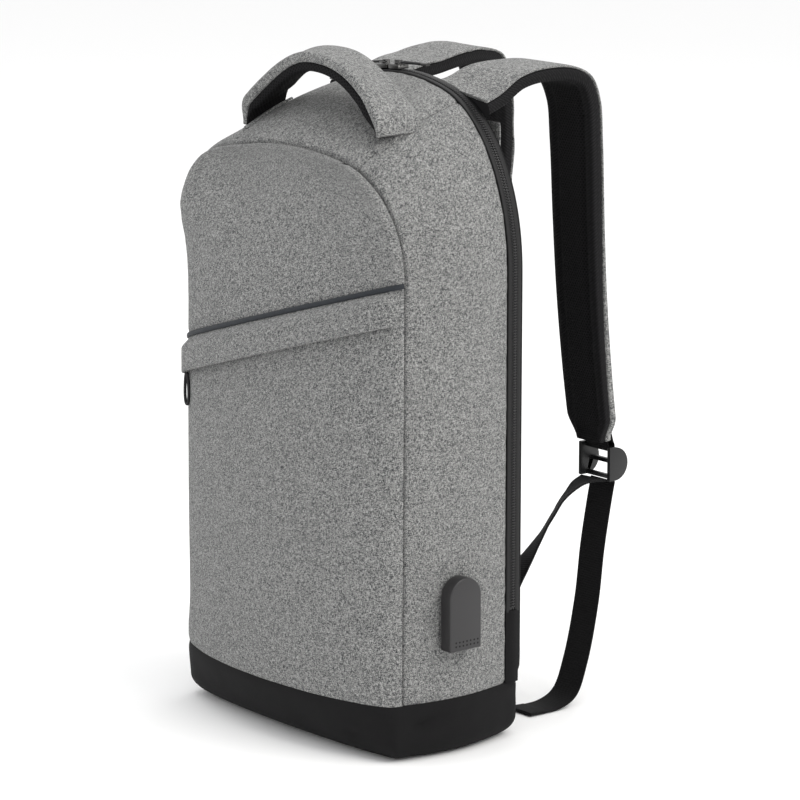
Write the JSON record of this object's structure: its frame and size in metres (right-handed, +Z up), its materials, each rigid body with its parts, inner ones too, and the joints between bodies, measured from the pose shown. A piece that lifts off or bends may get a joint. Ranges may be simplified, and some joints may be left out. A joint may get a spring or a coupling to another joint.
{
  "type": "laptop backpack",
  "caption": "Slim padded laptop backpack in grey heather cloth with a black base, slanted front pocket, zip round the back panel, padded straps and a USB port on its side",
  "frame": {"origin": "middle of the flat underside that the bag stands on", "axes": "+Z up, the front pocket faces -Y, +X is to the right seen from the front, the harness is on the +Y side"},
  "size_m": [0.261, 0.2874, 0.469],
  "materials": {
    "grey_melange": "two-tone heather weave, matt",
    "black_polyester": "matt woven polyester",
    "zip_black": "black coil zip, matt tape",
    "air_mesh": "spacer mesh, matt",
    "lining": "plain smooth lining",
    "webbing": "ribbed webbing",
    "black_plastic": "moulded acetal, fine satin",
    "charcoal_plastic": "satin moulded",
    "board": "stiffener board",
    "nickel": "dull nickel"
  },
  "bodies": {
    "shell": {"gusset_left": "grey_melange", "gusset_top": "grey_melange", "front_panel_upper": "grey_melange", "pocket_piping": "black_polyester", "pocket_zip_tape_upper": "zip_black", "pocket_zip_coil": "zip_black", "pocket_zip_tape_lower": "zip_black", "front_pocket_panel": "grey_melange", "pocket_placket": "grey_melange", "front_pocket_wall": "lining", "base_band": "black_polyester", "base_panel": "black_polyester", "base_board": "board", "zip_tape_shell": "zip_black", "zip_coil_shell": "zip_black", "zip_end_left": "black_polyester", "zip_end_right": "black_polyester", "handle_anchor_left": "grey_melange", "handle_anchor_right": "grey_melange", "usb_housing": "charcoal_plastic", "usb_receptacle": "nickel", "usb_plate": "black_plastic", "gusset_right": "grey_melange"},
    "back": {"back_panel": "black_polyester", "back_lining": "lining", "zip_tape_back": "zip_black", "zip_coil_back": "zip_black", "back_mesh_left": "air_mesh", "back_mesh_right": "air_mesh", "strap_yoke": "grey_melange", "laptop_sleeve": "lining", "sleeve_strap": "black_polyester", "strap_tab_left": "webbing", "strap_tab_right": "webbing", "webbing_lower_left": "webbing", "webbing_lower_right": "webbing"},
    "handle": {"carry_handle": "grey_melange", "carry_handle_mesh": "air_mesh"},
    "main_slider_left": {"main_slider_left": "nickel"},
    "main_slider_right": {"main_slider_right": "nickel"},
    "main_pull_left": {"main_pull_left": "black_polyester"},
    "main_pull_right": {"main_pull_right": "black_polyester"},
    "pocket_slider": {"pocket_slider": "nickel"},
    "pocket_pull": {"pocket_pull": "black_polyester"},
    "strap_left": {"strap_pad_left": "grey_melange", "strap_mesh_left": "air_mesh"},
    "lock_left": {"ladder_lock_left": "black_plastic"},
    "tail_left": {"webbing_tail_left": "webbing"},
    "strap_right": {"strap_pad_right": "grey_melange", "strap_mesh_right": "air_mesh"},
    "lock_right": {"ladder_lock_right": "black_plastic"},
    "tail_right": {"webbing_tail_right": "webbing"}
  },
  "joints": [
    {"name": "back_open", "type": "hinge", "parent": "shell", "child": "back", "pos_m": [0, 0.064, 0.0415], "axis": [-1, 0, 0], "range_deg": [0, 60]},
    {"name": "handle_swing", "type": "hinge", "parent": "shell", "child": "handle", "pos_m": [0, -0.015, 0.428], "axis": [1, 0, 0], "range_deg": [-14, 14], "stiffness_Nm_per_rad": 0.5},
    {"name": "main_slider_left_run", "type": "hinge", "parent": "shell", "child": "main_slider_left", "pos_m": [0, 0.049, 0.275], "axis": [0, 1, 0], "range_deg": [-9, 0]},
    {"name": "main_slider_right_run", "type": "hinge", "parent": "shell", "child": "main_slider_right", "pos_m": [0, 0.049, 0.275], "axis": [0, 1, 0], "range_deg": [0, 14]},
    {"name": "main_pull_left_lift", "type": "hinge", "parent": "main_slider_left", "child": "main_pull_left", "pos_m": [-0.0196, 0.049, 0.45454], "axis": [0, 1, 0], "range_deg": [0, 120]},
    {"name": "main_pull_right_lift", "type": "hinge", "parent": "main_slider_right", "child": "main_pull_right", "pos_m": [-0.00619, 0.049, 0.45549], "axis": [0, -1, 0], "range_deg": [0, 120]},
    {"name": "pocket_slider_run", "type": "hinge", "parent": "shell", "child": "pocket_slider", "pos_m": [-0.02474, 0.23098, 0.2741], "axis": [-0.2759, 0, 0.9612], "range_deg": [0, 6.5]},
    {"name": "pocket_pull_swing", "type": "hinge", "parent": "pocket_slider", "child": "pocket_pull", "pos_m": [-0.1013, -0.0647, 0.2362], "axis": [-0.9204, 0.2882, -0.2642], "range_deg": [0, 46]},
    {"name": "strap_right_swing", "type": "hinge", "parent": "back", "child": "strap_right", "pos_m": [0.055, 0.066, 0.446], "axis": [1, 0, 0], "range_deg": [-10, 2], "deforming": ["webbing_lower_right"]},
    {"name": "lock_right_tilt", "type": "hinge", "parent": "strap_right", "child": "lock_right", "pos_m": [0.076, 0.165, 0.182], "axis": [1, 0, 0], "range_deg": [0, 50]},
    {"name": "tail_right_hang", "type": "hinge", "parent": "strap_right", "child": "tail_right", "pos_m": [0.076, 0.167, 0.16], "axis": [1, 0, 0], "range_deg": [-3, 11]},
    {"name": "strap_left_swing", "type": "hinge", "parent": "back", "child": "strap_left", "pos_m": [-0.055, 0.06671, 0.446], "axis": [1, 0, 0], "range_deg": [-10, 2], "deforming": ["webbing_lower_left"]},
    {"name": "lock_left_tilt", "type": "hinge", "parent": "strap_left", "child": "lock_left", "pos_m": [-0.076, 0.1954, 0.182], "axis": [1, 0, 0], "range_deg": [0, 50]},
    {"name": "tail_left_hang", "type": "hinge", "parent": "strap_left", "child": "tail_left", "pos_m": [-0.076, 0.198, 0.16], "axis": [1, 0, 0], "range_deg": [-3, 11]}
  ],
  "couplings": [
    {"joint": "tail_right_hang", "follows": "strap_right_swing", "ratio": -1},
    {"joint": "tail_left_hang", "follows": "strap_left_swing", "ratio": -1}
  ]
}
